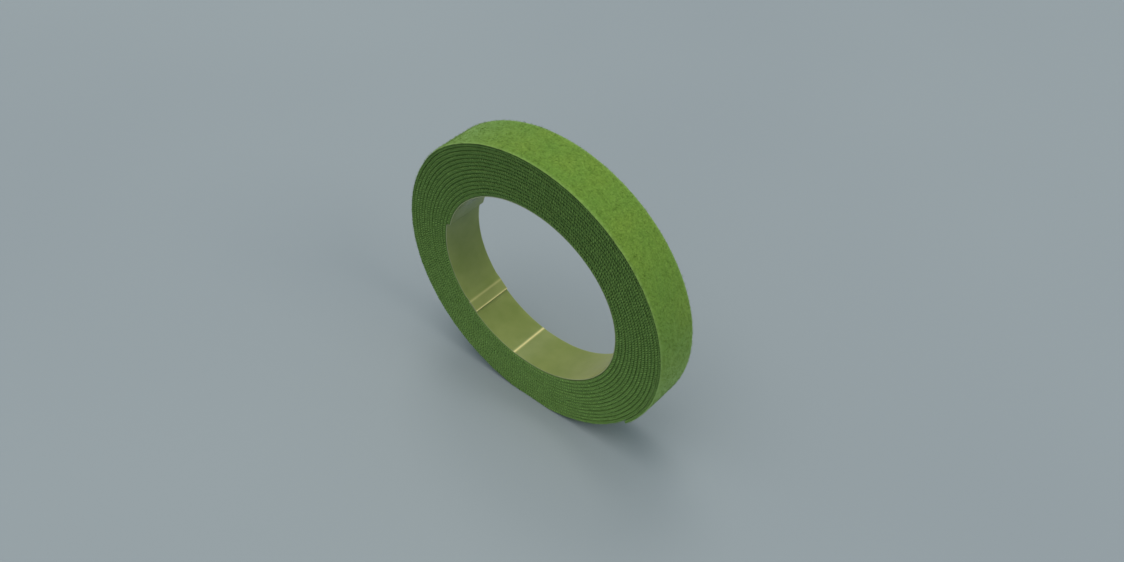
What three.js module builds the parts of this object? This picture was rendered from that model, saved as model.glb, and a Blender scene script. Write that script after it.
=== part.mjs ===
// A roll of back-to-back hook and loop tape, wound on a lapped strip of clear film and standing on its rim.
// Millimetres, +Z up. The roll's axis lies along Y, and the origin is on the floor straight below it.
// Angles are seen from the front, the -Y side: 0 points to +X, and they grow anticlockwise.

import * as THREE from 'three';

// Tape. Its loop web faces outwards and its hook web inwards, and the two are laminated back to back.
const tapeWidth = 19;
const loopWebThickness = 0.45;
const hookWebThickness = 0.42;
const laminateGap = 0.3;
const turnGap = 0.39;

// Winding. The tape runs clockwise and outwards, from its start at the bore to its free end on the rim.
const windingBoreRadius = 42.25;
const wholeTurns = 13;
const startAngle = THREE.MathUtils.degToRad(163);
const endAngle = THREE.MathUtils.degToRad(-39);
const bendsPerTurn = 40;

// The soft roll is pressed flat where it stands.
const footDepth = 0.5;

// Free end. This much of the tape peels off the turn below, about a line across the tape.
const freeEndLength = 30;
const peelLineGap = 0.3;

// Core strip. Clear film, sprung into the bore with its ends lapped. It steps in over the tape's start.
const filmThickness = 0.3;
const filmSideInset = 0.2;
const filmClearance = 0.3;
const filmStepLength = 5;
const lapAngle = THREE.MathUtils.degToRad(-134.2);
const lapLength = 5;
const lapGap = 0.3;
const lapRampLength = 4;

const fullTurn = 2 * Math.PI;
const quarterTurn = Math.PI / 2;
const bendStep = fullTurn / bendsPerTurn;

// Winding layout. A place along the tape is the angle that it has turned through since its start.

const pitch = loopWebThickness + laminateGap + hookWebThickness + turnGap;
const loopWebRise = hookWebThickness + laminateGap;
const tapeThickness = loopWebRise + loopWebThickness;
const tapeEnd = wholeTurns * fullTurn + startAngle - endAngle;

function angleAt(turned) {
  return startAngle - turned;
}

// How far round the first turn an angle lies.
function firstPlaceAt(angle) {
  return THREE.MathUtils.euclideanModulo(startAngle - angle, fullTurn);
}

// The radius of the tape's inner face, which is its hooks.
function tapeRadius(turned) {
  return windingBoreRadius + (pitch * turned) / fullTurn;
}

function rimRadiusAt(angle) {
  const first = firstPlaceAt(angle);
  const last = first + Math.floor((tapeEnd - first) / fullTurn) * fullTurn;
  return tapeRadius(last) + tapeThickness;
}

// Foot. The floor cuts the rim at two edges, and between them every turn runs straight.

const footAngle = -quarterTurn;
const axisHeight = rimRadiusAt(footAngle) - footDepth;

// The rim radius at one guess of the foot's half angle gives a closer guess, by 30 times or more.
function footEdgeAngle(side) {
  const closer = (half) => Math.acos(axisHeight / rimRadiusAt(footAngle + side * half));
  return footAngle + side * closer(closer(closer(closer(closer(0)))));
}

const footPlaces = [footEdgeAngle(1), footEdgeAngle(-1)].map(firstPlaceAt);

function isInFoot(turned) {
  const place = THREE.MathUtils.euclideanModulo(turned, fullTurn);
  return place > footPlaces[0] && place < footPlaces[1];
}

// Where a strip bends: its two ends, the foot's edges in each turn, even steps elsewhere and any extra places.
const leastBendShare = 0.02;

function bendPlaces(from, to, extra = []) {
  const places = [from, to, ...extra];
  for (let turned = Math.ceil(from / bendStep) * bendStep; turned < to; turned += bendStep) {
    if (!isInFoot(turned)) places.push(turned);
  }
  for (const place of footPlaces) {
    const skipped = Math.ceil((from - place) / fullTurn) * fullTurn;
    for (let turned = place + skipped; turned < to; turned += fullTurn) places.push(turned);
  }
  places.sort((a, b) => a - b);
  return places.filter((turned, i) => i === 0 || turned - places[i - 1] > leastBendShare * bendStep);
}

// Solids

function pointAt(radius, turned) {
  const angle = angleAt(turned);
  return new THREE.Vector2(radius * Math.cos(angle), radius * Math.sin(angle));
}

// A strip that bends at these places, as wide as given and centred on the front plane through the origin.
function stripGeometry(places, innerRadius, thickness, width) {
  const face = (rise) => places.map((turned) => pointAt(innerRadius(turned) + rise, turned));
  const outline = new THREE.Shape([...face(0), ...face(thickness).reverse()]);
  const geometry = new THREE.ExtrudeGeometry(outline, { depth: width, bevelEnabled: false });
  return geometry.translate(0, 0, -width / 2).rotateX(quarterTurn);
}

function hookWebRadius(turned) {
  return tapeRadius(turned);
}

function loopWebRadius(turned) {
  return tapeRadius(turned) + loopWebRise;
}

// The film lies against the first turn, and steps in over the tape's start, which stands proud of the bore.
function filmSeatRadius(turned) {
  const place = THREE.MathUtils.euclideanModulo(turned, fullTurn);
  const stepFrom = fullTurn - filmStepLength / windingBoreRadius;
  const share = THREE.MathUtils.smoothstep(place, stepFrom, fullTurn);
  const backing = THREE.MathUtils.lerp(tapeRadius(Math.min(place, stepFrom)), windingBoreRadius, share);
  return backing - filmClearance - filmThickness;
}

// The strip starts on top of its own other end, and ramps down to the bore beyond the lap.
const lapFrom = firstPlaceAt(lapAngle);
const lapTo = lapFrom + lapLength / windingBoreRadius;
const lapRampTo = lapTo + lapRampLength / windingBoreRadius;
const filmEnd = lapTo + fullTurn;

function filmRadius(turned) {
  const ramp = THREE.MathUtils.smoothstep(turned, lapTo, lapRampTo);
  return filmSeatRadius(turned) - (1 - ramp) * (filmThickness + lapGap);
}

// The least gap from a wound web's outer face to its own next turn, measured between bends.
function leastGapToItself(places, innerRadius, thickness) {
  const inner = places.map((turned) => pointAt(innerRadius(turned), turned));
  const side = new THREE.Vector2();
  let least = Infinity;
  places.forEach((turned, i) => {
    const point = pointAt(innerRadius(turned) + thickness, turned);
    for (let k = i + 1; k + 1 < places.length; k += 1) {
      if (places[k] - turned < fullTurn / 2) continue;
      side.subVectors(inner[k + 1], inner[k]);
      const along = point.clone().sub(inner[k]).dot(side) / side.lengthSq();
      const nearest = inner[k].clone().addScaledVector(side, THREE.MathUtils.clamp(along, 0, 1));
      least = Math.min(least, point.distanceTo(nearest));
    }
  });
  return least;
}

// Sub-parts

const loopPile = new THREE.MeshStandardMaterial({ color: 0x6b9139, roughness: 0.95, metalness: 0 });
const hookFace = new THREE.MeshStandardMaterial({ color: 0x4a6f31, roughness: 0.75, metalness: 0 });
const clearFilm = new THREE.MeshStandardMaterial({
  color: 0xc9c79a,
  roughness: 0.15,
  metalness: 0,
  transparent: true,
  opacity: 0.4,
});

function subPart(name, geometry, material) {
  const mesh = new THREE.Mesh(geometry, material);
  mesh.name = name;
  return mesh;
}

// The tape leaves the wound turns at the peel line, a set length before its end.
const peelPlace = tapeEnd - freeEndLength / tapeRadius(tapeEnd);
const woundEnd = peelPlace - peelLineGap / tapeRadius(peelPlace);
const woundPlaces = bendPlaces(0, woundEnd);
const freeEndPlaces = bendPlaces(peelPlace, tapeEnd);

function hookWeb(name, places) {
  return subPart(name, stripGeometry(places, hookWebRadius, hookWebThickness, tapeWidth), hookFace);
}

function loopWeb(name, places) {
  return subPart(name, stripGeometry(places, loopWebRadius, loopWebThickness, tapeWidth), loopPile);
}

function coreStrip() {
  const stepFrom = fullTurn - filmStepLength / windingBoreRadius;
  const stepMiddle = (stepFrom + fullTurn) / 2;
  const lapRampMiddle = (lapTo + lapRampTo) / 2;
  const places = bendPlaces(lapFrom, filmEnd, [stepFrom, stepMiddle, lapTo, lapRampMiddle, lapRampTo]);
  const width = tapeWidth - 2 * filmSideInset;
  return subPart('core_strip', stripGeometry(places, filmRadius, filmThickness, width), clearFilm);
}

const roll = new THREE.Group();
roll.position.z = axisHeight;
roll.add(
  coreStrip(),
  hookWeb('hook_web', woundPlaces),
  loopWeb('loop_web', woundPlaces),
  hookWeb('free_end_hook_web', freeEndPlaces),
  loopWeb('free_end_loop_web', freeEndPlaces),
);

const hookWebGap = leastGapToItself(woundPlaces, hookWebRadius, hookWebThickness);
const loopWebGap = leastGapToItself(woundPlaces, loopWebRadius, loopWebThickness);
console.log(`Least gap to itself: hook web ${hookWebGap.toFixed(3)} mm, loop web ${loopWebGap.toFixed(3)} mm`);

export default roll;
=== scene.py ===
import math

import bpy
import numpy as np
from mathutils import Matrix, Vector


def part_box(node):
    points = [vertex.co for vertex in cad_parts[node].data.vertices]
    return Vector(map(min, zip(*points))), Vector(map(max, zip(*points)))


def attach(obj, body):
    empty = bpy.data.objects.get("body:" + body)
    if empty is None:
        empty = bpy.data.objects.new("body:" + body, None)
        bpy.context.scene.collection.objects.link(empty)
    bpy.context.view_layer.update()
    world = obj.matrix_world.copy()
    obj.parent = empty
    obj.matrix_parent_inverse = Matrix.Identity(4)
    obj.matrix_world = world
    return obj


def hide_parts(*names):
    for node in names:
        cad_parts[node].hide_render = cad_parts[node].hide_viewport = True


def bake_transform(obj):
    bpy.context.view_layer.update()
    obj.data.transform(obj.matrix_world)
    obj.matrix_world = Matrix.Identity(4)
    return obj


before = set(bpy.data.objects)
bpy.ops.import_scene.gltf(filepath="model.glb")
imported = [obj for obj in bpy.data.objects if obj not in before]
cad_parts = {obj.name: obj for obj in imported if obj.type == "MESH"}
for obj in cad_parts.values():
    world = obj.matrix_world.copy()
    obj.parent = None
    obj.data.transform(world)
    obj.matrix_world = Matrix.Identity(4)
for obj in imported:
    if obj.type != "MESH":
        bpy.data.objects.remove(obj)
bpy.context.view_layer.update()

# Metres, +Z up, in the part's own frame. The roll's axis lies along Y, and the roll stands on the floor
# at the origin. Angles are seen from the front, the -Y side: 0 points to +X, and they grow anticlockwise.
# A place along the tape is the angle that it has turned through since its start.

MM = 0.001
TAU = 2 * math.pi

# Tape and winding
TAPE_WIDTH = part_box("loop_web")[1].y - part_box("loop_web")[0].y
TAPE_THICKNESS = 1.17 * MM
PITCH = 1.56 * MM
BORE_RADIUS = 42.25 * MM
WHOLE_TURNS = 13
START_ANGLE = math.radians(163)
END_ANGLE = math.radians(-39)
FOOT_ANGLE = -math.pi / 2
FOOT_DEPTH = 0.5 * MM
FREE_END_LENGTH = 30 * MM
PILE_RISE = 1.44 * MM

half_width = TAPE_WIDTH / 2
tape_end = WHOLE_TURNS * TAU + START_ANGLE - END_ANGLE


def first_place_at(angle):
    """How far round the first turn an angle lies."""
    return np.mod(START_ANGLE - angle, TAU)


def tape_radius(turned):
    """The radius of the tape's inner face, which is its hooks."""
    return BORE_RADIUS + PITCH * turned / TAU


def rim_radius_at(angle, rise=TAPE_THICKNESS):
    """The radius of the outermost turn, at this rise above its inner face."""
    first = first_place_at(angle)
    return tape_radius(first + np.floor((tape_end - first) / TAU) * TAU) + rise


def length_at(turned):
    """The length of tape wound up to here, from its start."""
    return turned * BORE_RADIUS + PITCH * turned * turned / TAU / 2


def places_by_length(from_turned, to_turned, step):
    """Places at even steps of length, worked out from the spiral's own length."""
    start, end = length_at(from_turned), length_at(to_turned)
    lengths = np.linspace(start, end, int((end - start) / step) + 2)
    half = PITCH / TAU / 2
    return (np.sqrt(BORE_RADIUS ** 2 + 4 * half * lengths) - BORE_RADIUS) / (2 * half)


tape_length = length_at(tape_end)


# Random curves and fields, all from fixed seeds. They have a few knots more than they reach, and a place
# in one always keeps the last knots ahead of it.

SPARE_KNOTS = 3
LAST_KNOTS = 2.001


def smooth_share(share):
    share = np.clip(share, 0, 1)
    return share * share * (3 - 2 * share)


def bell(away):
    return np.exp(-0.5 * away ** 2)


def wander(seed, spacing, reach):
    """A smooth random function of a length, between -1 and 1."""
    knots = np.random.default_rng(seed).uniform(-1, 1, int(reach / spacing) + SPARE_KNOTS)

    def value(length):
        place = np.clip(np.asarray(length) / spacing, 0, len(knots) - LAST_KNOTS)
        step = np.floor(place).astype(int)
        share = smooth_share(place - step)
        return knots[step] * (1 - share) + knots[step + 1] * share

    return value


def field(seed, spacing, reach):
    """A smooth random function of a length along the tape and a place across it, between -1 and 1."""
    rows = int(reach / spacing) + SPARE_KNOTS
    columns = int(2 * TAPE_WIDTH / spacing) + SPARE_KNOTS
    knots = np.random.default_rng(seed).uniform(-1, 1, (rows, columns))

    def value(length, across):
        along = np.clip(np.asarray(length) / spacing, 0, rows - LAST_KNOTS)
        aside = np.clip((np.asarray(across) + TAPE_WIDTH) / spacing, 0, columns - LAST_KNOTS)
        i, j = np.floor(along).astype(int), np.floor(aside).astype(int)
        u, v = smooth_share(along - i), smooth_share(aside - j)
        first = knots[i, j] * (1 - v) + knots[i, j + 1] * v
        second = knots[i + 1, j] * (1 - v) + knots[i + 1, j + 1] * v
        return first * (1 - u) + second * u

    return value


# Shares round the roll

def swells(shares, angle):
    """The sum of single swells: each a share, and its angle and its spread in degrees."""
    total = 0
    for share, at, spread in shares:
        away = np.mod(angle - math.radians(at) + math.pi, TAU) - math.pi
        total = total + share * bell(away / math.radians(spread))
    return total


def waves(shares, angle):
    """The sum of waves: each a share, its number of crests in a turn, and the angle of one in degrees."""
    return sum(share * np.cos(crests * (angle - math.radians(at))) for share, crests, at in shares)


# The winding as it lies. The roll is a little loose: its rim is a tall oval, its bore is a wide one that
# is set higher, its back face is set over, and its foot is pressed flat. Its turns are a little uneven.

OVAL_ANGLE = math.radians(97)
RIM_OVAL, BORE_OVAL = 0.75 * MM, -0.4 * MM
BORE_ASIDE, BORE_LIFT = 0.2 * MM, 0.93 * MM
BACK_ASIDE = 0.65 * MM

# Where the rim stands out or in: the share of its radius, the angle and the spread in degrees
RIM_SHARES = ((0.007, 132, 9), (-0.004, 170, 14), (0.005, 228, 14), (0.004, 309, 10), (0.005, -20, 12))

# How softly the flat foot begins, and how much of it is gone at the bore
FOOT_BLEND_SHARE = 0.003
FOOT_FADE_SHARE = 0.85

# The floor limits only what faces down by more than this share. Elsewhere the limit is out of reach.
DOWN_SHARE = 0.5
NO_LIMIT_SHARE = 2.0

TURN_WANDER, TURN_WANDER_SPACING = 0.035 * MM, 22 * MM
EDGE_WANDER, EDGE_WANDER_SPACING = 0.11 * MM, 46 * MM
turn_wander = wander(11, TURN_WANDER_SPACING, tape_length)
edge_wander = wander(12, EDGE_WANDER_SPACING, tape_length)


def oval_lobe(angle):
    """1 at the two ends of the oval's long axis, and -1 at its sides."""
    return np.cos(2 * (angle - OVAL_ANGLE))


axis_height = float(rim_radius_at(FOOT_ANGLE) + RIM_OVAL * oval_lobe(FOOT_ANGLE)) - FOOT_DEPTH


def settle(radius, angle):
    """Where a radius of the round winding comes to lie."""
    rim = rim_radius_at(angle, PILE_RISE)
    inward = np.clip((rim - radius) / (rim - BORE_RADIUS), 0, 1)
    oval_radius = radius + (RIM_OVAL * (1 - inward) + BORE_OVAL * inward) * oval_lobe(angle)
    oval_radius += (BORE_ASIDE * np.cos(angle) + BORE_LIFT * np.sin(angle)) * inward
    down = np.cos(angle - FOOT_ANGLE)
    floor_share = axis_height / np.maximum(down, DOWN_SHARE) / (rim + RIM_OVAL * oval_lobe(angle))
    limit = np.where(down > DOWN_SHARE, floor_share, NO_LIMIT_SHARE)
    near = np.maximum(FOOT_BLEND_SHARE - np.abs(limit - 1), 0) / FOOT_BLEND_SHARE
    pressed = np.minimum(limit, 1) - near * near * FOOT_BLEND_SHARE / 4
    pressed = 1 - (1 - pressed) * (1 - FOOT_FADE_SHARE * inward)
    return oval_radius * pressed * (1 + swells(RIM_SHARES, angle) * (1 - inward))


def placed(radius, angle, y):
    x = radius * np.cos(angle) + BACK_ASIDE * (y / TAPE_WIDTH + 0.5)
    return np.stack([x, y, np.maximum(axis_height + radius * np.sin(angle), 0)], -1)


def on_tape(turned, height, across):
    """Points at these heights above the tape's inner face and places across its width."""
    turned, height, across = np.broadcast_arrays(turned, height, across)
    angle = START_ANGLE - turned
    length = length_at(turned)
    radius = settle(tape_radius(turned) + height + TURN_WANDER * turn_wander(length), angle)
    return placed(radius, angle, across + EDGE_WANDER * edge_wander(length))


# Meshes

SHARP_ANGLE = math.radians(55)
TUBE_SIDES = 3
TINY = 1e-12

# A tube that runs along Y by more than this share has its sides laid out from X, and any other from Y
ALONG_Y_SHARE = 0.8


def mesh_piece(name, points, faces, material):
    """A piece from its points and lists of faces, each an array with a row for every face."""
    mesh = bpy.data.meshes.new(name)
    mesh.vertices.add(len(points))
    mesh.vertices.foreach_set("co", np.asarray(points, np.float32).ravel())
    corners = np.concatenate([np.asarray(f, np.int32).ravel() for f in faces])
    counts = np.concatenate([np.full(len(f), len(f[0]), np.int32) for f in faces])
    starts = np.concatenate([[0], np.cumsum(counts)[:-1]]).astype(np.int32)
    mesh.loops.add(len(corners))
    mesh.loops.foreach_set("vertex_index", corners)
    mesh.polygons.add(len(counts))
    mesh.polygons.foreach_set("loop_start", starts)
    mesh.update(calc_edges=True)
    mesh.validate()
    mesh.polygons.foreach_set("use_smooth", np.ones(len(mesh.polygons), bool))
    mesh.materials.append(material)
    piece = bpy.data.objects.new(name, mesh)
    bpy.context.scene.collection.objects.link(piece)
    return piece


def ring_faces(count, sides):
    """The quads of one tube: rings one after another, each with this many points."""
    ring = np.arange(count - 1)[:, None] * sides
    side = np.arange(sides)[None, :]
    after = (side + 1) % sides
    quads = np.stack([ring + side, ring + after, ring + sides + after, ring + sides + side], -1)
    return quads.reshape(-1, 4)


def strip_piece(name, rings, material, **values):
    """A closed strip through rings of points, which run anticlockwise seen from its start.

    Each further argument becomes an attribute of its points, for the material to read.
    """
    count, sides = rings.shape[:2]
    first = np.arange(sides)[None, ::-1]
    last = (count - 1) * sides + np.arange(sides)[None, :]
    piece = mesh_piece(name, rings.reshape(-1, 3), [ring_faces(count, sides), first, last], material)
    piece.data.set_sharp_from_angle(angle=SHARP_ANGLE)
    for attribute_name, value in values.items():
        attribute = piece.data.attributes.new(attribute_name, "FLOAT", "POINT")
        flat = np.broadcast_to(value, (count, sides)).astype(np.float32).ravel()
        attribute.data.foreach_set("value", flat)
    return piece


def tube_piece(name, centres, radii, material):
    """Many thin tubes in one piece: a row of centres for each, and a radius for each centre."""
    many, count = centres.shape[:2]
    along = np.gradient(centres, axis=1)
    along /= np.linalg.norm(along, axis=2, keepdims=True) + TINY
    guide = np.where(np.abs(along[..., 1:2]) < ALONG_Y_SHARE, [0.0, 1.0, 0.0], [1.0, 0.0, 0.0])
    first = np.cross(along, guide)
    first /= np.linalg.norm(first, axis=2, keepdims=True) + TINY
    second = np.cross(along, first)
    side = np.arange(TUBE_SIDES)
    turns = (side * TAU / TUBE_SIDES)[:, None]
    spokes = first[:, :, None] * np.cos(turns) + second[:, :, None] * np.sin(turns)
    rings = centres[:, :, None] + spokes * radii[..., None, None]
    rings[..., 2] = np.maximum(rings[..., 2], 0)
    start = (np.arange(many) * count * TUBE_SIDES)[:, None, None]
    quads = (ring_faces(count, TUBE_SIDES)[None] + start).reshape(-1, 4)
    ends = np.stack([side[::-1], (count - 1) * TUBE_SIDES + side])
    caps = (ends[None] + start).reshape(-1, TUBE_SIDES)
    return mesh_piece(name, rings.reshape(-1, 3), [quads, caps], material)


# Materials

# The colour mix node's sockets: its share, its two colours and its result
MIX_SHARE, MIX_FIRST, MIX_SECOND, MIX_RESULT = 0, 6, 7, 2

# A diagonal wave texture of scale 1 repeats after this many metres, and one along X twice as often
WAVE_REPEAT = TAU / 10

TUFT_SIZE, TUFT_PATCH_SIZE = 0.6 * MM, 16 * MM
PILE_GRAIN_SIZE, PILE_BUMP = 0.5 * MM, 0.12 * MM
FIBRE_PATCH_SIZE = 2.2 * MM
THREAD_SIZE, THREAD_PERIOD, THREAD_BUMP = 0.6 * MM, 1.15 * MM, 0.1 * MM
BEAD_PERIOD = 1.1 * MM
HOOK_PATCH_SIZE, HOOK_GRAIN_SIZE, HOOK_BUMP = 0.8 * MM, 0.35 * MM, 0.08 * MM
HAZE_SIZE = 9 * MM
FLOOR_PATCH_SIZE = 0.4


def linear(red, green, blue):
    """An sRGB colour, 0 to 255, as a linear one."""
    share = np.array([red, green, blue]) / 255
    low = share / 12.92
    high = ((share + 0.055) / 1.055) ** 2.4
    return (*np.where(share <= 0.04045, low, high).tolist(), 1.0)


def grey(value):
    return (value, value, value, 1.0)


class Nodes:
    """A material's node tree, with short ways to add what these materials share."""

    def __init__(self, name):
        self.material = bpy.data.materials.new(name)
        self.material.use_nodes = True
        self.tree = self.material.node_tree
        self.shader = self.tree.nodes["Principled BSDF"]
        self.place = self.add("ShaderNodeTexCoord").outputs["Object"]

    def add(self, kind, **inputs):
        node = self.tree.nodes.new(kind)
        for name, value in inputs.items():
            node.inputs[name].default_value = value
        return node

    def link(self, output, node, socket):
        self.tree.links.new(output, node.inputs[socket])

    def attribute(self, name):
        node = self.add("ShaderNodeAttribute")
        node.attribute_name = name
        return node.outputs["Fac"]

    def strands(self, period, direction="DIAGONAL", distortion=4.0):
        """Strands across a cut edge, from the length and the rise that its strip keeps."""
        place = self.add("ShaderNodeCombineXYZ")
        self.link(self.attribute("length"), place, "X")
        self.link(self.attribute("rise"), place, "Y")
        scale = WAVE_REPEAT / period
        wave = self.add("ShaderNodeTexWave", Scale=scale, Distortion=distortion, Detail=2.0)
        wave.bands_direction = direction
        self.link(place.outputs["Vector"], wave, "Vector")
        return wave.outputs["Fac"]

    def noise(self, size, detail=2.0, roughness=0.5):
        """Noise whose features are about this many metres across."""
        node = self.add("ShaderNodeTexNoise", Scale=1 / size, Detail=detail, Roughness=roughness)
        self.link(self.place, node, "Vector")
        return node.outputs["Fac"]

    def ramp(self, value, stops):
        node = self.add("ShaderNodeValToRGB")
        self.link(value, node, "Fac")
        elements = node.color_ramp.elements
        while len(elements) < len(stops):
            elements.new(0.5)
        for element, (place, colour) in zip(elements, stops):
            element.position = place
            element.color = colour
        return node.outputs["Color"]

    def mix(self, first, second, share, blend="MIX"):
        node = self.add("ShaderNodeMix")
        node.data_type = "RGBA"
        node.blend_type = blend
        for socket, value in ((MIX_FIRST, first), (MIX_SECOND, second), (MIX_SHARE, share)):
            if isinstance(value, (float, tuple)):
                node.inputs[socket].default_value = value
            else:
                self.link(value, node, socket)
        return node.outputs[MIX_RESULT]

    def bump(self, height, distance, strength):
        node = self.add("ShaderNodeBump", Strength=strength, Distance=distance)
        self.link(height, node, "Height")
        self.link(node.outputs["Normal"], self.shader, "Normal")

    def finish(self, colour, **constants):
        self.link(colour, self.shader, "Base Color")
        for name, value in constants.items():
            self.shader.inputs[name.replace("_", " ")].default_value = value
        return self.material


def pile_material():
    """Napped nylon loops: a green mottled at random, whose darker spots are painted shade between the
    tufts.
    """
    nodes = Nodes("loop_pile")
    green = nodes.ramp(nodes.noise(TUFT_SIZE, detail=3.0, roughness=0.6), [
        (0.30, linear(99, 131, 46)),
        (0.50, linear(115, 148, 57)),
        (0.70, linear(129, 160, 69)),
    ])
    tint = nodes.ramp(nodes.noise(TUFT_PATCH_SIZE), [
        (0.35, linear(238, 247, 240)),
        (0.65, linear(255, 252, 238)),
    ])
    nodes.bump(nodes.noise(PILE_GRAIN_SIZE, detail=3.0), PILE_BUMP, 0.7)
    mottled = nodes.mix(green, tint, 1.0, "MULTIPLY")
    # Painted highlight along the pile's edges and painted light round the roll, mixed towards a paler
    # green
    return nodes.finish(
        nodes.mix(mottled, linear(146, 178, 96), nodes.attribute("pale")),
        Roughness=0.95, Sheen_Weight=0.22, Sheen_Roughness=0.5, Sheen_Tint=linear(214, 255, 196),
        Specular_IOR_Level=0.2,
    )


def fibre_material(name, darker, paler):
    """Single nylon fibres, between two greens."""
    nodes = Nodes(name)
    green = nodes.ramp(nodes.noise(FIBRE_PATCH_SIZE), [(0.35, darker), (0.65, paler)])
    return nodes.finish(green, Roughness=0.7, Specular_IOR_Level=0.3)


def web_material():
    """The woven ground of the loop web, as its cut edge shows."""
    nodes = Nodes("loop_ground")
    green = nodes.ramp(nodes.noise(THREAD_SIZE, detail=3.0, roughness=0.65), [
        (0.32, linear(98, 133, 61)),
        (0.5, linear(126, 162, 80)),
        (0.68, linear(151, 186, 100)),
    ])
    strands = nodes.strands(THREAD_PERIOD)
    shade = nodes.ramp(strands, [(0.15, linear(128, 138, 124)), (0.6, linear(255, 255, 255))])
    nodes.bump(strands, THREAD_BUMP, 0.8)
    lit = nodes.mix(green, shade, 1.0, "MULTIPLY")
    # Painted shade in the gaps between the turns, broken into dots along them, mixed towards a near-black
    # green
    beads = nodes.ramp(nodes.strands(BEAD_PERIOD, "X", 2.0), [(0.25, grey(0.35)), (0.6, grey(1.0))])
    gap_shade_dots = nodes.mix(nodes.attribute("gap_shade"), beads, 1.0, "MULTIPLY")
    colour = nodes.mix(lit, linear(14, 28, 8), gap_shade_dots)
    # Painted light and shade round the roll, from the tone attribute
    toned = nodes.mix(colour, nodes.attribute("tone"), 1.0, "MULTIPLY")
    return nodes.finish(toned, Roughness=0.9, Specular_IOR_Level=0.2)


def hook_material():
    """The moulded hook web and its hooks: a darker green, with a soft shine."""
    nodes = Nodes("hook_face")
    green = nodes.ramp(nodes.noise(HOOK_PATCH_SIZE), [
        (0.35, linear(83, 119, 51)),
        (0.65, linear(110, 146, 68)),
    ])
    nodes.bump(nodes.noise(HOOK_GRAIN_SIZE), HOOK_BUMP, 0.7)
    # Painted light: the hook web is paler where the turns lie close, towards the foot
    lit = nodes.mix(green, linear(122, 154, 78), nodes.attribute("pale"))
    return nodes.finish(lit, Roughness=0.75, Specular_IOR_Level=0.25)


def film_material():
    """Clear film with a warm tint. The strip's attributes say where it carries painted glints and painted
    light, a painted bluish reflection, and a painted highlight on its cut edges.
    """
    nodes = Nodes("clear_film")
    bright = nodes.attribute("bright")
    haze = nodes.ramp(nodes.noise(HAZE_SIZE, detail=3.0), [
        (0.3, linear(146, 160, 79)),
        (0.7, linear(162, 173, 94)),
    ])
    # A painted bluish reflection near the top
    veiled = nodes.mix(haze, linear(165, 185, 180), nodes.attribute("veil"))
    # Painted glints along the crease and the lap's ends, and painted light, in a pale gold; the film is
    # less clear there
    glinting = nodes.mix(veiled, linear(255, 238, 160), bright)
    # A painted highlight on the cut edges, from the cut attribute
    colour = nodes.mix(glinting, linear(204, 208, 160), nodes.attribute("cut"))
    nodes.link(nodes.ramp(bright, [(0.0, grey(0.7)), (1.0, grey(0.96))]), nodes.shader, "Alpha")
    return nodes.finish(colour, Roughness=0.26, IOR=1.5, Specular_IOR_Level=0.4)


pile, ground = pile_material(), web_material()
fibre = fibre_material("loop_fibre", linear(106, 140, 46), linear(144, 176, 82))
edge_fibre = fibre_material("edge_fibre", linear(90, 122, 52), linear(124, 156, 78))
hook_face, clear_film = hook_material(), film_material()


# Webs

WEB_RING_STEP = 0.55 * MM

# The free end's own pieces start this far before the peel line.
# In the turn below, the pile starts this margin before the peel line.
FREE_END_ROOT = 3 * MM
COVERED_MARGIN = 9 * MM
peel_place = tape_end - FREE_END_LENGTH / tape_radius(tape_end)
root_place = peel_place - FREE_END_ROOT / tape_radius(peel_place)
covered_from = peel_place - TAU - COVERED_MARGIN / tape_radius(peel_place)
shown_from = tape_end - TAU

# The ground of the loop web ends at this rise. The loops above it lean into the next turn's hooks.
GROUND_RISE = 1.1 * MM
NEXT_TURN_REACH = 0.03 * MM
NEXT_TURN_RISE = PITCH + NEXT_TURN_REACH

# The front half of each web's section, from its inner face round to its outer one. Each point is a rise
# above the tape's inner face and a distance in from the tape's edge, in millimetres.
HOOK_SECTION = ((0.02, 7.5), (0.02, 0.14), (0.1, 0.04), (0.36, 0.04), (0.47, 0.14), (0.48, 7.5))
LOOP_TOP = NEXT_TURN_RISE / MM
LOOP_SECTION = ((0.46, 0.1), (0.62, 0), (0.86, -0.03), (1.08, 0), (1.18, 0.12), (LOOP_TOP, 0.9))

# The cut edges carry painted shade from the gap up to this rise, fading in over this depth. Under the
# rim's pile the painted shadow starts lower down.
DARK_RISE, DARK_DEPTH = 1.34 * MM, 0.4 * MM
RIM_DARK_FROM = 0.52 * MM

# Where the turns lie close, the loops stand this much higher, from just above the ground on
CLOSE_RISE, CLOSE_SPAN = 0.34 * MM, 0.1 * MM

# How open the gap between the turns is round the roll, and how much painted shade it carries: most near
# the top, least at the foot.
# Each wave has its share, its number of crests in a turn and the angle of one, in degrees.
GAP_SHARES = ((0.55, 0, 0), (0.45, 1, 80))

# Painted light and shade on the cut edges round the roll: lightest at the lower right and darkest near
# the top
EDGE_LIGHT_SHARES = ((1.08, 0, 0), (0.16, 1, 285), (-0.11, 2, 60))

# The grain of the cut edges: how far in it reaches and fades, how far it stands out, and its fields
GRAIN_DEPTH, GRAIN_FADE = 0.5 * MM, 0.3 * MM
GRAIN_ACROSS, GRAIN_HEIGHT = 0.15 * MM, 0.06 * MM
EDGE_GRAIN_SIZE, THREAD_GRAIN_SIZE = 1.1 * MM, 2.4 * MM
THREAD_GRAIN_SHARE = 0.6

# The fields are read at other places for either edge, and are finer from face to face than along
GRAIN_APART, LIFT_APART, THREAD_APART = 7 * MM, -5 * MM, 3 * MM
GRAIN_FINENESS, LIFT_FINENESS = 6, 5

edge_field = field(21, EDGE_GRAIN_SIZE, tape_length)
thread_field = field(22, THREAD_GRAIN_SIZE, tape_length)


def full_section(half_section):
    """A web's closed section, as rises and places across, from its front half."""
    rise, inset = np.array(half_section).T * MM
    front = np.stack([rise, inset - half_width], -1)
    return np.concatenate([front, front[::-1] * [1, -1]])


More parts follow.
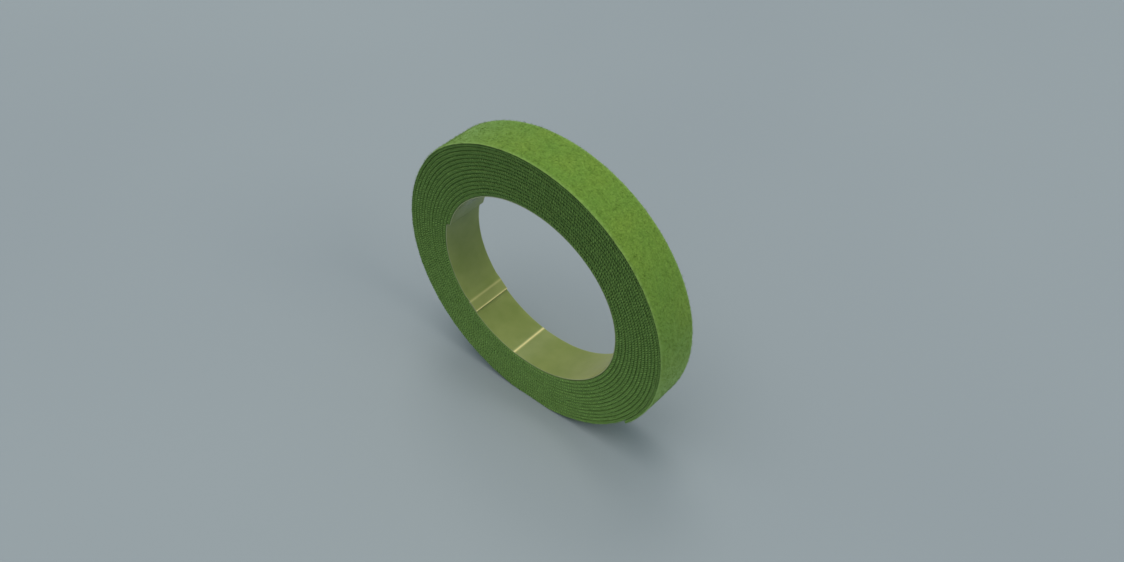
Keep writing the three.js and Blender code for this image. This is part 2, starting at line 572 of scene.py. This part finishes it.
def web_strip(name, from_turned, to_turned, half_section, material):
    """A web of the tape, with the grain of its cut edges. Under the outer turn's pile it is thinner."""
    turned = places_by_length(from_turned, to_turned, WEB_RING_STEP)[:, None]
    angle = START_ANGLE - turned
    length = length_at(turned)
    outer = turned > covered_from
    gap = waves(GAP_SHARES, angle)
    height, across = full_section(half_section).T[:, None]
    closer = CLOSE_RISE * (1 - gap) * smooth_share((height - GROUND_RISE) / CLOSE_SPAN)
    wound_height = np.minimum(height + closer, NEXT_TURN_RISE)
    height = np.where(outer, np.minimum(height, GROUND_RISE), wound_height)
    at_edge = smooth_share((np.abs(across) - (half_width - GRAIN_DEPTH)) / GRAIN_FADE)
    side = np.sign(across)
    grain = edge_field(length, height * GRAIN_FINENESS + side * GRAIN_APART)
    grain = grain + THREAD_GRAIN_SHARE * thread_field(length, side * THREAD_APART)
    lift = edge_field(length, height * LIFT_FINENESS + side * LIFT_APART)
    rough_height = height + GRAIN_HEIGHT * lift * at_edge
    rings = on_tape(turned, rough_height, across + side * at_edge * GRAIN_ACROSS * grain)
    # Painted shade towards the next turn, and painted shadow under the rim's pile, scaled by how open the
    # gap looks
    dark_from = np.where(outer, RIM_DARK_FROM, DARK_RISE + closer - DARK_DEPTH)
    gap_shade = smooth_share((height - dark_from) / DARK_DEPTH) * gap
    # Painted light and shade round the roll
    tone = waves(EDGE_LIGHT_SHARES, angle)
    # The hook web's painted light: paler where the turns lie close
    values = {"length": length, "rise": height, "gap_shade": gap_shade, "tone": tone, "pale": 1 - gap}
    return strip_piece(name, rings, material, **values)


# Pile. A skin of tufts covers the outer turn, and single loops stand out of it.

PILE_STEP = 0.3 * MM
PILE_INSET = 0.05 * MM
PILE_UNDERSIDE = 1.0 * MM

# The tufts: how deep the hollows between them are, and what their coarse and fine fields add to that
TUFT_DEPTH = 0.2 * MM
TUFT_SHARE, FINE_TUFT_SHARE = 0.35, 0.15
TUFT_SPACING, FINE_TUFT_SPACING = 0.75 * MM, 0.4 * MM
tuft_field = field(31, TUFT_SPACING, tape_length)
fine_field = field(32, FINE_TUFT_SPACING, tape_length)

# The pile is rounded at its edges, where it keeps this share of what it rises above its edge rise
PILE_EDGE_RISE, PILE_EDGE_SHARE = 1.14 * MM, 0.25
PILE_ROUNDING = 0.5 * MM

# The pile carries a painted highlight along its edges, and painted light in places round the roll: how
# much, the angle and the spread in degrees
EDGE_HIGHLIGHT_SHARE, EDGE_HIGHLIGHT_WIDTH = 0.45, 1.4 * MM
PILE_LIGHT_SHARES = ((1.0, -28, 19), (0.45, 126, 9))

# Single loops: how many there are, how long they are from foot to foot, and how high they stand
LOOPS_PER_MM2, WISPS_PER_MM2 = 1.9, 0.6
LOOP_SPAN = (0.45 * MM, 1.15 * MM)
LOOP_HEIGHT = (0.1 * MM, 0.34 * MM)
COVERED_LOOP_HEIGHT = (0, 0.06 * MM)
WISP_HEIGHT = (0.35 * MM, 0.75 * MM)
LOOP_RADIUS = 0.024 * MM
LOOP_SPAN_SHARES = np.array([-0.5, -0.36, 0.0, 0.36, 0.5])
LOOP_RISE_SHARES = np.array([0.0, 0.72, 1.0, 0.72, 0.0])

# They root at this rise, which lies this deep in the pile
LOOP_ROOT_RISE, LOOP_ROOT_DEPTH = 1.22 * MM, 0.12 * MM

# Short fibres at the cut edges: how many there are, where they root, and how far they reach and lean
FUZZ_PER_MM = 2.6
FUZZ_RISE, FUZZ_ROOT_DEPTH = (0.5 * MM, 1.42 * MM), 0.12 * MM
FUZZ_REACH = (0.18 * MM, 0.62 * MM)
FUZZ_LEAN_ALONG, FUZZ_LEAN_UP = 0.35 * MM, 0.2 * MM
FUZZ_SHARES = np.array([0.0, 0.55, 1.0])
FUZZ_RADII = np.array([0.03, 0.026, 0.01]) * MM


def pile_skin(name, from_turned, to_turned):
    turned = places_by_length(from_turned, to_turned, PILE_STEP)[:, None]
    edge = half_width - PILE_INSET
    across = np.linspace(-edge, edge, int(TAPE_WIDTH / PILE_STEP) + 1)
    length = length_at(turned)
    hollow = 0.5 + TUFT_SHARE * tuft_field(length, across) + FINE_TUFT_SHARE * fine_field(length, across)
    rounding = smooth_share((half_width - np.abs(across)) / PILE_ROUNDING)
    rise_share = PILE_EDGE_SHARE + (1 - PILE_EDGE_SHARE) * rounding
    top = PILE_EDGE_RISE + (PILE_RISE - PILE_EDGE_RISE - TUFT_DEPTH * hollow) * rise_share
    outer = on_tape(turned, top, across[None, :])
    under = on_tape(turned, PILE_UNDERSIDE, across[None, [-1, 0]])
    # Painted highlight along the edges, and painted light round the roll
    near_edge = 1 - smooth_share((half_width - np.abs(across)) / EDGE_HIGHLIGHT_WIDTH)
    pale = EDGE_HIGHLIGHT_SHARE * np.concatenate([near_edge, [1, 1]])[::-1]
    pale = pale + swells(PILE_LIGHT_SHARES, START_ANGLE - turned)
    return strip_piece(name, np.concatenate([outer, under], axis=1)[:, ::-1], pile, pale=pale)


def pile_loops(name, from_turned, to_turned, seed, per_mm2, heights):
    """Single loops. The middle line of each comes up out of the pile, over and back into it."""
    draw = np.random.default_rng(seed)
    area_mm2 = (length_at(to_turned) - length_at(from_turned)) * TAPE_WIDTH / MM ** 2
    many = int(area_mm2 * per_mm2)
    turned = draw.uniform(from_turned, to_turned, (many, 1))
    across = draw.uniform(-half_width, half_width, (many, 1))
    span = draw.uniform(*LOOP_SPAN, (many, 1))
    height = draw.uniform(*heights, (many, 1))
    heading = draw.uniform(0, math.pi, (many, 1))
    along = span * LOOP_SPAN_SHARES
    place = turned + along * np.cos(heading) / tape_radius(turned)
    rise = LOOP_ROOT_RISE + (height + LOOP_ROOT_DEPTH) * LOOP_RISE_SHARES
    centres = on_tape(place, rise, across + along * np.sin(heading))
    return tube_piece(name, centres, np.full(centres.shape[:2], LOOP_RADIUS), fibre)


def edge_fuzz(name, from_turned, to_turned, side, seed):
    """Short fibres that stand out of the tape's cut edge on one side."""
    draw = np.random.default_rng(seed)
    length = length_at(to_turned) - length_at(from_turned)
    many = int(length / MM * FUZZ_PER_MM)
    turned = draw.choice(places_by_length(from_turned, to_turned, length / many), (many, 1))
    rise = draw.uniform(*FUZZ_RISE, (many, 1))
    out = draw.uniform(*FUZZ_REACH, (many, 1))
    along = draw.normal(0, FUZZ_LEAN_ALONG, (many, 1))
    up = draw.normal(0, FUZZ_LEAN_UP, (many, 1))
    place = turned + along * FUZZ_SHARES ** 2 / tape_radius(turned)
    across = side * (half_width - FUZZ_ROOT_DEPTH + out * FUZZ_SHARES)
    centres = on_tape(place, rise + up * FUZZ_SHARES ** 2, across)
    return tube_piece(name, centres, np.broadcast_to(FUZZ_RADII, centres.shape[:2]), edge_fibre)


# Hooks. Each stands on the hook web's inner face, rooted a little inside it, and bends over at its tip.

HOOK_LENGTH = 0.3 * MM
HOOK_ROOT = 0.04 * MM
HOOK_LEAN = (0.08 * MM, 0.2 * MM)
HOOK_RISE_SHARES = np.array([0.0, 0.55, 1.0, 0.86])
HOOK_LEAN_SHARES = np.array([0.0, 0.1, 0.55, 1.0])
HOOK_RADII = np.array([0.1, 0.075, 0.06, 0.04]) * MM
HOOK_SPACING = 1.15 * MM
HOOK_END_INSET = 0.3 * MM
EDGE_HOOK_INSET = (0.06 * MM, 0.26 * MM)
EDGE_HOOK_RADIUS_SHARE = 1.5


def hooks(name, turned, across, seed, radius_share=1.0):
    draw = np.random.default_rng(seed)
    lean = draw.uniform(*HOOK_LEAN, len(turned)) * draw.choice([-1, 1], len(turned))
    place = turned[:, None] + lean[:, None] * HOOK_LEAN_SHARES / tape_radius(turned)[:, None]
    centres = on_tape(place, HOOK_ROOT - HOOK_LENGTH * HOOK_RISE_SHARES, across[:, None])
    radii = np.broadcast_to(HOOK_RADII * radius_share, centres.shape[:2])
    return tube_piece(name, centres, radii, hook_face)


def hook_grid(name, from_turned, to_turned, seed):
    """Rows of hooks all over the web, every other row set over by half a step."""
    turned = places_by_length(from_turned, to_turned, HOOK_SPACING)
    columns = int(TAPE_WIDTH / HOOK_SPACING)
    across = (np.arange(columns) - (columns - 1) / 2) * HOOK_SPACING
    shift = (np.arange(len(turned)) % 2 - 0.5) * HOOK_SPACING / 2
    turned, across = np.broadcast_arrays(turned[:, None], across[None, :] + shift[:, None])
    return hooks(name, turned.ravel(), across.ravel(), seed)


def edge_hooks(name, from_turned, to_turned, side, seed):
    """The outermost row of hooks along one edge, which shows between the turns."""
    draw = np.random.default_rng(seed)
    turned = places_by_length(from_turned, to_turned, BEAD_PERIOD / 2)
    across = side * (half_width - draw.uniform(*EDGE_HOOK_INSET, len(turned)))
    return hooks(name, turned, across, seed + 1, EDGE_HOOK_RADIUS_SHARE)


# Core strip. Its two ends lap, and it steps in over the tape's start.

FILM_THICKNESS = 0.3 * MM
FILM_SIDE_INSET = 0.2 * MM
FILM_CLEARANCE = 0.3 * MM
FILM_STEP_LENGTH = 1.6 * MM
LAP_ANGLE = math.radians(-134.2)
LAP_LENGTH = 5 * MM
LAP_GAP = 0.3 * MM
LAP_RAMP_LENGTH = 4 * MM
FILM_RING_STEP = 0.35 * MM
FILM_WAVE, FILM_WAVE_SPACING = 0.05 * MM, 13 * MM
CREASE_ANGLE = math.radians(-101.8)
CREASE_HEIGHT, CREASE_WIDTH = 0.04 * MM, 0.34 * MM

# How strong the painted glint on the hidden end looks through the lap, how bright the lap looks, and the
# width of a painted glint at an end
SHOW_THROUGH_SHARE, LAP_SHARE = 0.45, 0.1
GLINT_WIDTH = 0.36 * MM

# Where the film carries painted light and looks brighter, and where it carries a painted bluish
# reflection
FILM_LIGHT_SHARES = ((0.32, -25, 22),)
REFLECTION_SHARES = ((0.15, 140, 30),)

# The film's section, point by point: how strong the painted highlight on its cut edges is, and which
# points are on its outer face
CUT_EDGE_WIDTH = 0.2 * MM
CUT_HIGHLIGHT_SHARES = np.array([1, 0, 0, 1, 1, 0, 0, 1]) * 0.6
OUTER_SHARES = np.array([0, 0, 0, 0, 1, 1, 1, 1])

lap_from = float(first_place_at(LAP_ANGLE))
lap_to = lap_from + LAP_LENGTH / BORE_RADIUS
lap_ramp_to = lap_to + LAP_RAMP_LENGTH / BORE_RADIUS
film_end = lap_to + TAU
crease_place = TAU + float(first_place_at(CREASE_ANGLE))


def film_seat_radius(turned):
    """The film's inner face where it lies against the first turn, or steps in over the tape's start."""
    place = np.mod(turned, TAU)
    step_from = TAU - FILM_STEP_LENGTH / BORE_RADIUS
    share = smooth_share((place - step_from) / (TAU - step_from))
    backing = tape_radius(np.minimum(place, step_from)) * (1 - share) + BORE_RADIUS * share
    return backing - FILM_CLEARANCE - FILM_THICKNESS


def film_radius(turned):
    ramp = smooth_share((turned - lap_to) / (lap_ramp_to - lap_to))
    return film_seat_radius(turned) - (1 - ramp) * (FILM_THICKNESS + LAP_GAP)


def core_film():
    length = (film_end - lap_from) * BORE_RADIUS
    turned = np.linspace(lap_from, film_end, int(length / FILM_RING_STEP))[:, None]
    angle = START_ANGLE - turned
    wave = wander(41, FILM_WAVE_SPACING, length)((turned - lap_from) * BORE_RADIUS)
    crease = bell((turned - crease_place) * BORE_RADIUS / CREASE_WIDTH)
    inner = settle(film_radius(turned), angle) - FILM_WAVE * (0.5 + 0.5 * wave) - CREASE_HEIGHT * crease
    edge = half_width - FILM_SIDE_INSET
    front = np.array([-edge, -edge + CUT_EDGE_WIDTH, edge - CUT_EDGE_WIDTH, edge])
    radius = inner + FILM_THICKNESS * OUTER_SHARES
    across = np.broadcast_to(np.concatenate([front, front[::-1]]), radius.shape)
    from_end = np.minimum(turned - lap_from, film_end - turned) * BORE_RADIUS
    over_end = (turned - lap_to) * BORE_RADIUS
    # Painted glints on the crease and at the lap's ends, painted light at the lower right, and a slightly
    # brighter lap
    bright = np.maximum(crease, bell(from_end / GLINT_WIDTH))
    bright = np.maximum(bright, SHOW_THROUGH_SHARE * bell(over_end / GLINT_WIDTH))
    bright = np.maximum(bright, swells(FILM_LIGHT_SHARES, angle))
    bright = np.maximum(bright, LAP_SHARE * (turned < lap_to))
    # A painted bluish reflection near the top
    veil = swells(REFLECTION_SHARES, angle)
    rings = placed(radius, angle, across)
    return strip_piece("core_film", rings, clear_film, bright=bright, veil=veil, cut=CUT_HIGHLIGHT_SHARES)


# Camera, set from the photograph's view of the roll's front face. The sensor is in millimetres.

PHOTO_WIDTH, PHOTO_HEIGHT = 1124, 562
PHOTO_FOCAL_PX = 1041.67
PHOTO_CENTRE_PX = (542.6, 279.3)
VIEW_AZIMUTH = math.radians(39.66)
VIEW_ELEVATION = math.radians(44.07)
VIEW_DISTANCE = 409.8 * MM
SENSOR_WIDTH = 36.0
CLIP_START = 10 * MM


def make_camera():
    sin_a, cos_a = math.sin(VIEW_AZIMUTH), math.cos(VIEW_AZIMUTH)
    sin_e, cos_e = math.sin(VIEW_ELEVATION), math.cos(VIEW_ELEVATION)
    right = Vector((cos_a, sin_a, 0))
    up = Vector((-sin_a * sin_e, cos_a * sin_e, cos_e))
    back = Vector((sin_a * cos_e, -cos_a * cos_e, sin_e))
    aside = (PHOTO_CENTRE_PX[0] - PHOTO_WIDTH / 2) / PHOTO_FOCAL_PX * VIEW_DISTANCE
    above = -(PHOTO_CENTRE_PX[1] - PHOTO_HEIGHT / 2) / PHOTO_FOCAL_PX * VIEW_DISTANCE
    data = bpy.data.cameras.new("camera")
    data.sensor_width = SENSOR_WIDTH
    data.lens = PHOTO_FOCAL_PX / PHOTO_WIDTH * SENSOR_WIDTH
    data.clip_start = CLIP_START
    camera = bpy.data.objects.new("camera", data)
    camera.location = Vector((0, 0, axis_height)) + back * VIEW_DISTANCE - right * aside - up * above
    camera.rotation_mode = "QUATERNION"
    camera.rotation_quaternion = (-back).to_track_quat("-Z", "Y")
    bpy.context.scene.collection.objects.link(camera)
    bpy.context.scene.camera = camera


# Floor, light and surroundings

FLOOR_SIZE = 80.0

# Each soft light: how high and how far round from +X it stands, in degrees, and its strength
LIGHTS = (
    (90, 0, 0.58),
    (65, 135, 0.45),
    (65, 225, 0.2),
    (65, 270, 0.27),
    (65, 315, 0.26),
    (40, 0, 0.55),
)
LIGHT_WIDTH = math.radians(25)
LIGHT_COLOUR = (1.0, 0.95, 0.89)
SKY_COLOUR, SKY_STRENGTH = (0.76, 0.96, 1.14, 1), 0.385
BACKDROP_COLOUR = linear(158, 169, 175)


def make_floor():
    nodes = Nodes("floor")
    tone = nodes.ramp(nodes.noise(FLOOR_PATCH_SIZE), [
        (0.3, linear(151, 159, 162)),
        (0.7, linear(156, 164, 166)),
    ])
    material = nodes.finish(tone, Roughness=0.8, Specular_IOR_Level=0.2)
    half = FLOOR_SIZE / 2
    corners = [(-half, -half, 0), (half, -half, 0), (half, half, 0), (-half, half, 0)]
    mesh_piece("floor", corners, [[[0, 1, 2, 3]]], material)


def soft_sun(elevation, azimuth, strength):
    """Even, soft light from one direction."""
    up, round_z = math.radians(elevation), math.radians(azimuth)
    place = Vector((math.cos(up) * math.cos(round_z), math.cos(up) * math.sin(round_z), math.sin(up)))
    data = bpy.data.lights.new("soft_sun", "SUN")
    data.angle = LIGHT_WIDTH
    data.energy = strength
    data.color = LIGHT_COLOUR
    light = bpy.data.objects.new("soft_sun", data)
    light.rotation_mode = "QUATERNION"
    light.rotation_quaternion = place.to_track_quat("Z", "Y")
    bpy.context.scene.collection.objects.link(light)


def make_light():
    """Soft light from above, and a backdrop of the floor's own colour for what looks past the floor."""
    world = bpy.data.worlds.new("world")
    bpy.context.scene.world = world
    world.use_nodes = True
    tree = world.node_tree
    sky = tree.nodes["Background"]
    sky.inputs["Color"].default_value = SKY_COLOUR
    sky.inputs["Strength"].default_value = SKY_STRENGTH
    backdrop = tree.nodes.new("ShaderNodeBackground")
    backdrop.inputs["Color"].default_value = BACKDROP_COLOUR
    path = tree.nodes.new("ShaderNodeLightPath")
    seen = path.outputs["Is Camera Ray"]
    for ray in ("Is Glossy Ray", "Is Transmission Ray"):
        either = tree.nodes.new("ShaderNodeMath")
        either.operation = "MAXIMUM"
        tree.links.new(seen, either.inputs[0])
        tree.links.new(path.outputs[ray], either.inputs[1])
        seen = either.outputs[0]
    mix = tree.nodes.new("ShaderNodeMixShader")
    tree.links.new(seen, mix.inputs[0])
    tree.links.new(sky.outputs[0], mix.inputs[1])
    tree.links.new(backdrop.outputs[0], mix.inputs[2])
    tree.links.new(mix.outputs[0], tree.nodes["World Output"].inputs["Surface"])
    for values in LIGHTS:
        soft_sun(*values)


# Assembly. The roll's pieces ride on the roll's body, and the free end's pieces stay as they are made.


def ride_roll(piece, slot, *nodes):
    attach(piece, "roll")
    if nodes:
        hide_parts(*nodes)


def bend_free_end(piece, slot, *nodes):
    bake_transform(piece)
    if nodes:
        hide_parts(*nodes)


def make_roll():
    ride_roll(core_film(), "clear_film", "core_strip")
    web = web_strip("hook_web_turns", 0, root_place, HOOK_SECTION, hook_face)
    ride_roll(web, "hook_face", "hook_web")
    web = web_strip("loop_web_turns", 0, root_place, LOOP_SECTION, ground)
    ride_roll(web, "loop_pile", "loop_web")
    ride_roll(pile_skin("tread_pile", covered_from, root_place), "loop_pile")
    middle = (shown_from + root_place) / 2
    for values in (
        ("tread_loops_1", shown_from, middle, 51, LOOPS_PER_MM2, LOOP_HEIGHT),
        ("tread_loops_2", middle, root_place, 52, LOOPS_PER_MM2, LOOP_HEIGHT),
        ("covered_loops", covered_from, shown_from, 53, LOOPS_PER_MM2, COVERED_LOOP_HEIGHT),
        ("tread_wisps", shown_from, root_place, 54, WISPS_PER_MM2, WISP_HEIGHT),
    ):
        ride_roll(pile_loops(*values), "loop_pile")
    ride_roll(edge_fuzz("front_fuzz", 0, root_place, -1, 61), "loop_pile")
    ride_roll(edge_fuzz("back_fuzz", 0, root_place, 1, 62), "loop_pile")
    ride_roll(edge_hooks("front_edge_hooks", 0, root_place, -1, 71), "hook_face")
    ride_roll(edge_hooks("back_edge_hooks", 0, root_place, 1, 75), "hook_face")
    ride_roll(hook_grid("bore_hooks", 0, TAU, 73), "hook_face")


def make_free_end():
    web = web_strip("free_end_hook_side", root_place, tape_end, HOOK_SECTION, hook_face)
    bend_free_end(web, "hook_face", "free_end_hook_web")
    web = web_strip("free_end_loop_side", root_place, tape_end, LOOP_SECTION, ground)
    bend_free_end(web, "loop_pile", "free_end_loop_web")
    bend_free_end(pile_skin("free_end_pile", root_place, tape_end), "loop_pile")
    loops = pile_loops("free_end_loops", root_place, tape_end, 81, LOOPS_PER_MM2, LOOP_HEIGHT)
    bend_free_end(loops, "loop_pile")
    bend_free_end(edge_fuzz("free_end_front_fuzz", root_place, tape_end, -1, 82), "loop_pile")
    bend_free_end(edge_fuzz("free_end_back_fuzz", root_place, tape_end, 1, 83), "loop_pile")
    last_hooks = tape_end - HOOK_END_INSET / tape_radius(tape_end)
    bend_free_end(hook_grid("free_end_hooks", root_place, last_hooks, 84), "hook_face")


make_camera()
make_floor()
make_light()
make_roll()
make_free_end()

bpy.context.scene.view_settings.view_transform = "Standard"
